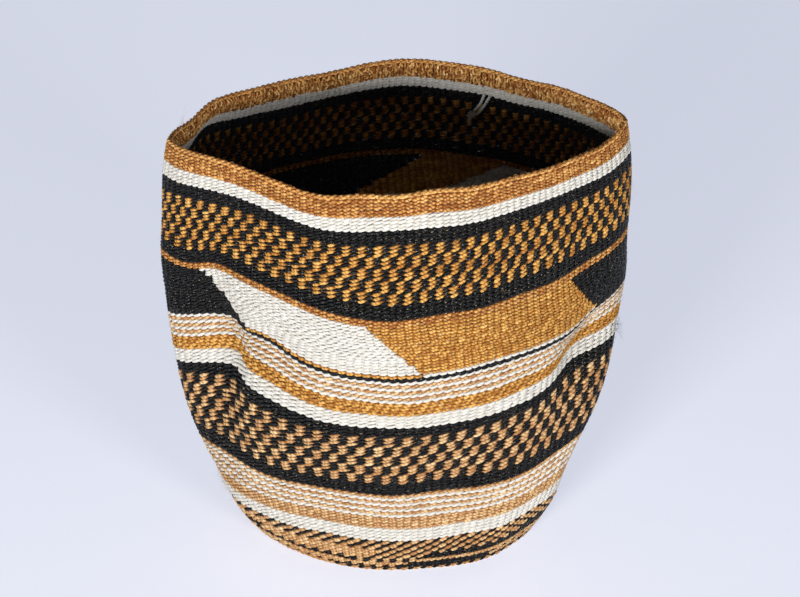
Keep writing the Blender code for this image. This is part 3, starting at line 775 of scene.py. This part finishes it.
under_white = under_rows(FRONT_JOINT, RIGHT_JOINT) + under_rows(BACK_MIDDLE_JOINT, BACK_JOINT)
under_ochre = under_rows(LEFT_JOINT, FRONT_JOINT) + under_rows(RIGHT_BACK_JOINT, BACK_MIDDLE_JOINT)
under_black = under_rows(BACK_JOINT, LEFT_JOINT) + under_rows(RIGHT_JOINT, RIGHT_BACK_JOINT)
under_black += [weft(row, lead) for row in THICK_LINE_ROWS for lead in (0, 1)]
make_piece("underline_white_yarn", under_white, white, ["panel_underline"])
make_piece("underline_ochre_yarn", under_ochre, golden, ["panel_underline"])
make_piece("underline_black_yarn", under_black, black, ["panel_underline"])


# Rim. After five ochre rows the warp ends turn over the edge and lie along it as a rope of two strands, with
# a slanting bump to each warp. Inside they are darned down through the rows, as short upright stitches.
RIM_TONE_SPREAD = 0.13
make_piece("rim_rows", twined_rows(1, 6, RIM_TONE_SPREAD), ochre, ["rim_band"])

# The rope's rings to a warp and sides, its row and lean, how far its strands swing and their half-thickness,
# how far they vary, and their tone.
ROPE_STEPS, ROPE_SIDES = 8, 8
ROPE_ROW, ROPE_LEAN_ROWS = 0.42, 0.24
ROPE_SWING, ROPE_HALF = 0.78 * MM, 0.90 * MM
ROPE_SPREAD, ROPE_TONE = 0.06, 0.48


def rope_strand(start):
    """One strand of the rope along the edge, which goes round the other once for every two warps."""
    sides = columns_at(0.5)
    count = len(sides) - 1
    column = np.arange(count * ROPE_STEPS) / ROPE_STEPS
    place = np.interp(column, np.arange(count + 1), sides)
    bump = (column + 0.5 + start).astype(int) % count
    turn = math.pi * (column + start)
    half = ROPE_HALF * (1 + chance.normal(0, ROPE_SPREAD, count)[bump])
    shift = chance.normal(0, ROPE_SPREAD, count)[bump] * np.abs(np.cos(turn))
    row = ROPE_ROW - ROPE_LEAN_ROWS * np.sin(turn) + shift
    middle = in_cloth(place, row, WALL / 2 - ROPE_SWING * np.cos(turn))
    rings = tube(middle, on_grid(inward_ways, place, row), half, half, ROPE_SIDES, True)
    tone = ROPE_TONE + chance.normal(0, TONE_SPREAD, count)
    return new_tube(rings, True, tone[bump].clip(0, 1), drifting(count, DYE_DRIFT_STITCHES)[bump])


# A darned end inside the rim, at five points along it: rows down, depth into the cloth, share of thickness.
END_ROWS = np.array([-0.75, -0.42, 0.0, 0.42, 0.75])
END_DEPTHS = np.array([3.3, 4.2, 4.5, 4.2, 3.3]) * MM
END_TAPER = np.array([0.55, 0.9, 1.0, 0.9, 0.55])
END_HALF, END_SIDES = 0.82 * MM, 6
# How far the ends lean, in columns, and vary in length, thickness, depth and row, and their tone. They stand
# in five tiers, two to a warp, in line with the columns of one row.
END_LEAN, END_LONG, END_BULK = 0.35, (0.8, 1.1), (0.8, 1.15)
END_DEPTH_SPREAD, END_ROW_SPREAD, END_TONE, END_TONE_SPREAD = 0.15 * MM, 0.17, 0.40, 0.28
END_TIERS, ENDS_TO_A_WARP = (1.3, 2.3, 3.3, 4.2, 5.0), 2
RIM_COLUMNS_ROW = 3.0


def darned_end(column, row, sides):
    """One warp end, which shows for a stitch's length inside the rim and leans to one side."""
    lean = chance.uniform(-END_LEAN, END_LEAN)
    place = np.interp(column + lean * np.linspace(-1, 1, len(END_ROWS)), np.arange(len(sides)), sides)
    down = row + END_ROWS * chance.uniform(*END_LONG)
    half = END_HALF * chance.uniform(*END_BULK) * END_TAPER
    middle = in_cloth(place, down, END_DEPTHS + chance.normal(0, END_DEPTH_SPREAD))
    rings = tube(middle, on_grid(inward_ways, place, down), half, half, END_SIDES)
    tone = float(np.clip(chance.normal(END_TONE, END_TONE_SPREAD), 0, 1))
    return new_tube(rings, tone=tone, dye=chance.uniform(0, 1))


rope = [rope_strand(0), rope_strand(1)]
rim_sides = columns_at(RIM_COLUMNS_ROW)
for tier in END_TIERS:
    for step in range((len(rim_sides) - 1) * ENDS_TO_A_WARP):
        column = (step + 0.5 * (chance.uniform() + 0.5)) / ENDS_TO_A_WARP
        rope.append(darned_end(column, tier + chance.normal(0, END_ROW_SPREAD), rim_sides))
make_piece("turned_rim", rope, ochre, ["rim_cord"])


# Tie. A short white two-ply twine is knotted round the white band inside the back wall. It hangs from two
# stitches, goes through its knot and ends bare.
TWINE, TWINE_LAY = 2.0 * MM, 5 * MM
TIE_ROUTE = (
    (0.0586, 0.0641, 0.2511), (0.0572, 0.0648, 0.2481), (0.0556, 0.0669, 0.2436),
    (0.0534, 0.0698, 0.2388), (0.0511, 0.0723, 0.2344), (0.0472, 0.0743, 0.2332),
    (0.0465, 0.0763, 0.2286), (0.0463, 0.0780, 0.2240),
)
STRAND_ROUTE = (
    (0.0550, 0.0664, 0.2507), (0.0539, 0.0663, 0.2474), (0.0530, 0.0678, 0.2442),
    (0.0508, 0.0706, 0.2396), (0.0489, 0.0723, 0.2366),
)
ROUTE_STEPS = 8
PLY_SHARE, PLY_SIDES, TWINE_TONE, TWINE_DYE = 0.55, 8, 0.55, 0.2


def smooth_route(route):
    """Points close together on a smooth curve through a route's own points, in the basket's place."""
    points = np.array([route[0], *route, route[-1]]) + np.array(STANCE)
    found = []
    for a, b, c, d in zip(points, points[1:], points[2:], points[3:]):
        for t in np.arange(ROUTE_STEPS) / ROUTE_STEPS:
            near = (2 * t**3 - 3 * t**2 + 1) * b + (3 * t**2 - 2 * t**3) * c
            found.append(near + (t**3 - 2 * t**2 + t) * (c - a) / 2 + (t**3 - t**2) * (d - b) / 2)
    return np.array([*found, points[-1]])


def two_ply(path, half):
    """The two plies of a twine along a path, laid round each other."""
    steps = np.linalg.norm(np.diff(path, axis=0), axis=1)
    turn = math.tau * np.concatenate([[0], np.cumsum(steps)]) / TWINE_LAY
    along = np.gradient(path, axis=0)
    # Any way that the paths don't run in will do to measure the plies' turn from.
    side = np.cross(along, (0.3, 1.0, 0.2))
    side /= np.linalg.norm(side, axis=1, keepdims=True)
    up = np.cross(side, along)
    up /= np.linalg.norm(up, axis=1, keepdims=True)
    plies = []
    for start in (0, math.pi):
        middle = path + half / 2 * (np.cos(turn + start)[:, None] * side + np.sin(turn + start)[:, None] * up)
        thick = np.full(len(path), half * PLY_SHARE)
        plies.append(new_tube(tube(middle, side, thick, thick, PLY_SIDES), tone=TWINE_TONE, dye=TWINE_DYE))
    return plies


twine_path = smooth_route(TIE_ROUTE)
strand_path = smooth_route(STRAND_ROUTE)
twine = make_piece("twine", two_ply(twine_path, TWINE / 2), white, ["tie_twine"])
strand = make_piece("second_strand", two_ply(strand_path, TWINE / 2), white, ["tie_strand"])

# The knot is the same twine, wound round the sixth point of its route.
KNOT_STEP = 5 * ROUTE_STEPS
KNOT_HALF, KNOT_LONG, KNOT_TURNS, KNOT_POINTS = 1.45 * MM, 2.2 * MM, 2.4, 60
knot_way = twine_path[KNOT_STEP + 2] - twine_path[KNOT_STEP - 2]
knot_way /= np.linalg.norm(knot_way)
knot_side = np.cross(knot_way, (0, 1, 0))
knot_side /= np.linalg.norm(knot_side)
knot_up = np.cross(knot_way, knot_side)
knot_turn = np.linspace(0, math.tau * KNOT_TURNS, KNOT_POINTS)[:, None]
knot_path = twine_path[KNOT_STEP] + KNOT_HALF * (np.cos(knot_turn) * knot_side + np.sin(knot_turn) * knot_up)
knot_path = knot_path + knot_way * (knot_turn / knot_turn.max() - 0.5) * KNOT_LONG
knot = make_piece("knot", two_ply(knot_path, TWINE / 2), white, ["tie_knot"])


# Loose fibres. Sisal is hairy: fibre ends work out of the yarn all over, and stand in tufts where a yarn was
# joined or cut.
FIBRES, FIBRES_INSIDE = 2600, 0.25
FIBRE_LONG, FIBRE_HALF, FIBRE_TIP_SHARE = 7 * MM, 0.06 * MM, 0.35
FIBRE_POINTS, FIBRE_SIDES = 5, 4
# Most are short and a few long. They leave the cloth at a slant, droop back to it and sway to the side.
FIBRE_LENGTHS = (1.3, 3.5)
FIBRE_RISE, FIBRE_DROOP, FIBRE_BEND = 0.55, 0.25, 0.5
FIBRE_TONES, FIBRE_DYE = (0.4, 1), 0.3


def loose_fibre(place=None, row=None, inside=False, long=FIBRE_LONG):
    """One fibre end that stands out of the cloth and bends over, anywhere or in a tuft."""
    if place is None:
        place, row = chance.uniform(-0.5, 0.5), chance.uniform(0, WALL_ROWS)
        inside = chance.uniform() < FIBRES_INSIDE
    start = in_cloth(place, row, WALL if inside else 0.0)
    inward = on_grid(inward_ways, place, row)
    out = inward if inside else -inward
    sway = chance.normal(0, 1, 3)
    sway -= out * (sway @ out)
    sway /= np.linalg.norm(sway)
    bend = chance.normal(0, FIBRE_BEND, 3)
    long = long * chance.beta(*FIBRE_LENGTHS)
    t = np.linspace(0, 1, FIBRE_POINTS)[:, None]
    path = start + long * (sway * t + out * (FIBRE_RISE * t - FIBRE_DROOP * t**2) + bend * t**2 / 2)
    thick = FIBRE_HALF * np.linspace(1, FIBRE_TIP_SHARE, FIBRE_POINTS)
    rings = tube(path, np.cross(sway, out) + 0.1, thick, thick, FIBRE_SIDES)
    return new_tube(rings, tone=chance.uniform(*FIBRE_TONES), dye=FIBRE_DYE)


# Tufts: the yarn, the place, the row and how many fibres.
TUFTS = (
    ("ochre", -0.262, 2, 24),
    ("pale", -0.268, 9, 12),
    ("black", -0.265, 41, 16),
    ("black", 0.247, 21, 14),
    ("black", 0.212, 66, 22),
    ("ochre", -0.190, 104, 30),
    ("pale", 0.020, 58, 6),
)
TUFT_PLACE, TUFT_ROWS, TUFT_LONG = 0.004, 1.0, 20 * MM


def tuft(place, row, count):
    """Longer fibre ends that stand out together."""
    spots = zip(chance.normal(place, TUFT_PLACE, count), chance.normal(row, TUFT_ROWS, count))
    return [loose_fibre(x, abs(y), long=TUFT_LONG) for x, y in spots]


for yarn, material, slot, share in (
    ("pale", undyed_sisal, "undyed_sisal", 0.5),
    ("ochre", ochre, "ochre_yarn", 0.3),
    ("black", black, "black_yarn", 0.2),
):
    fibres = [loose_fibre() for _ in range(int(FIBRES * share))]
    for kind, place, row, count in TUFTS:
        fibres += tuft(place, row, count) if kind == yarn else []
    make_piece(f"loose_{yarn}_fibres", fibres, material)


# Studio. A wide pale floor between four soft lamps, wide and hung low. The two in front are the brighter, so
# that the inside falls dark below the rim. The floor's glow is seen, but lights nothing.
FLOOR_WIDTH = 12.0
FLOOR_COLOUR, GLOW_COLOUR = (0.56, 0.56, 0.55), (0.78, 0.825, 1.0)
PAPER_GLOW = 0.66
bpy.ops.mesh.primitive_plane_add(size=FLOOR_WIDTH, location=(0, 0, 0))
floor = bpy.context.object
floor.name = "floor"


def seen_directly(tree):
    """1 for what the camera, a reflection or clear glass looks at, and 0 for light on its way elsewhere."""
    path = tree.nodes.new("ShaderNodeLightPath")
    seen = add_math(tree, "MAXIMUM", path.outputs["Is Camera Ray"], path.outputs["Is Glossy Ray"])
    return add_math(tree, "MAXIMUM", seen, path.outputs["Is Transmission Ray"])


paper = bpy.data.materials.new("pale_floor")
paper.use_nodes = True
paper_shader = paper.node_tree.nodes["Principled BSDF"]
set_inputs(paper_shader, {"Base Color": (*FLOOR_COLOUR, 1), "Emission Color": (*GLOW_COLOUR, 1)})
set_inputs(paper_shader, {"Roughness": 1, "Specular IOR Level": 0})
glow = add_math(paper.node_tree, "MULTIPLY", seen_directly(paper.node_tree), PAPER_GLOW)
link_up(paper.node_tree, (glow, paper_shader.inputs["Emission Strength"]))
floor.data.materials.append(paper)


LAMP_SLIMNESS, LAMP_AIM = 0.6, (0, 0, 0.15)


def add_lamp(name, place, size, power):
    """A wide soft lamp that faces the middle of the basket."""
    data = bpy.data.lights.new(name, "AREA")
    data.shape, data.size, data.size_y, data.energy = "RECTANGLE", size, size * LAMP_SLIMNESS, power
    lamp = bpy.data.objects.new(name, data)
    bpy.context.scene.collection.objects.link(lamp)
    lamp.location = place
    x, y, z = (aim - start for aim, start in zip(LAMP_AIM, place))
    lamp.rotation_euler = (math.atan2(math.hypot(x, y), -z), 0, math.atan2(x, -y) + math.pi)


add_lamp("key_lamp", (-0.9, -1.9, 0.59), 0.6, 42)
add_lamp("fill_lamp", (1.3, -1.7, 0.59), 0.6, 26)
add_lamp("left_back_lamp", (-1.6, 1.5, 0.4), 0.8, 6)
add_lamp("right_back_lamp", (1.6, 1.5, 0.4), 0.8, 6)

SKY_COLOUR, SKY_STRENGTH, BACKDROP_COLOUR = (0.93, 0.95, 1.0), 0.004, (0.70, 0.74, 0.85)
world = bpy.data.worlds.new("studio")
world.use_nodes = True
bpy.context.scene.world = world
tree = world.node_tree
sky, backdrop = tree.nodes["Background"], tree.nodes.new("ShaderNodeBackground")
set_inputs(sky, {"Color": (*SKY_COLOUR, 1), "Strength": SKY_STRENGTH})
set_inputs(backdrop, {"Color": (*BACKDROP_COLOUR, 1)})
either = tree.nodes.new("ShaderNodeMixShader")
link_up(
    tree,
    (seen_directly(tree), either.inputs["Fac"]),
    (sky.outputs[0], either.inputs[1]),
    (backdrop.outputs[0], either.inputs[2]),
    (either.outputs[0], tree.nodes["World Output"].inputs["Surface"]),
)

CAMERA_LENS, CAMERA_PLACE, CAMERA_TILT = 91.5, (0.0014, -1.0676, 0.8353), 57
camera_data = bpy.data.cameras.new("camera")
camera_data.lens = CAMERA_LENS
camera = bpy.data.objects.new("camera", camera_data)
camera.location = CAMERA_PLACE
camera.rotation_euler = (math.radians(CAMERA_TILT), 0, 0)
bpy.context.scene.collection.objects.link(camera)
bpy.context.scene.camera = camera
bpy.context.scene.view_settings.view_transform = "Standard"
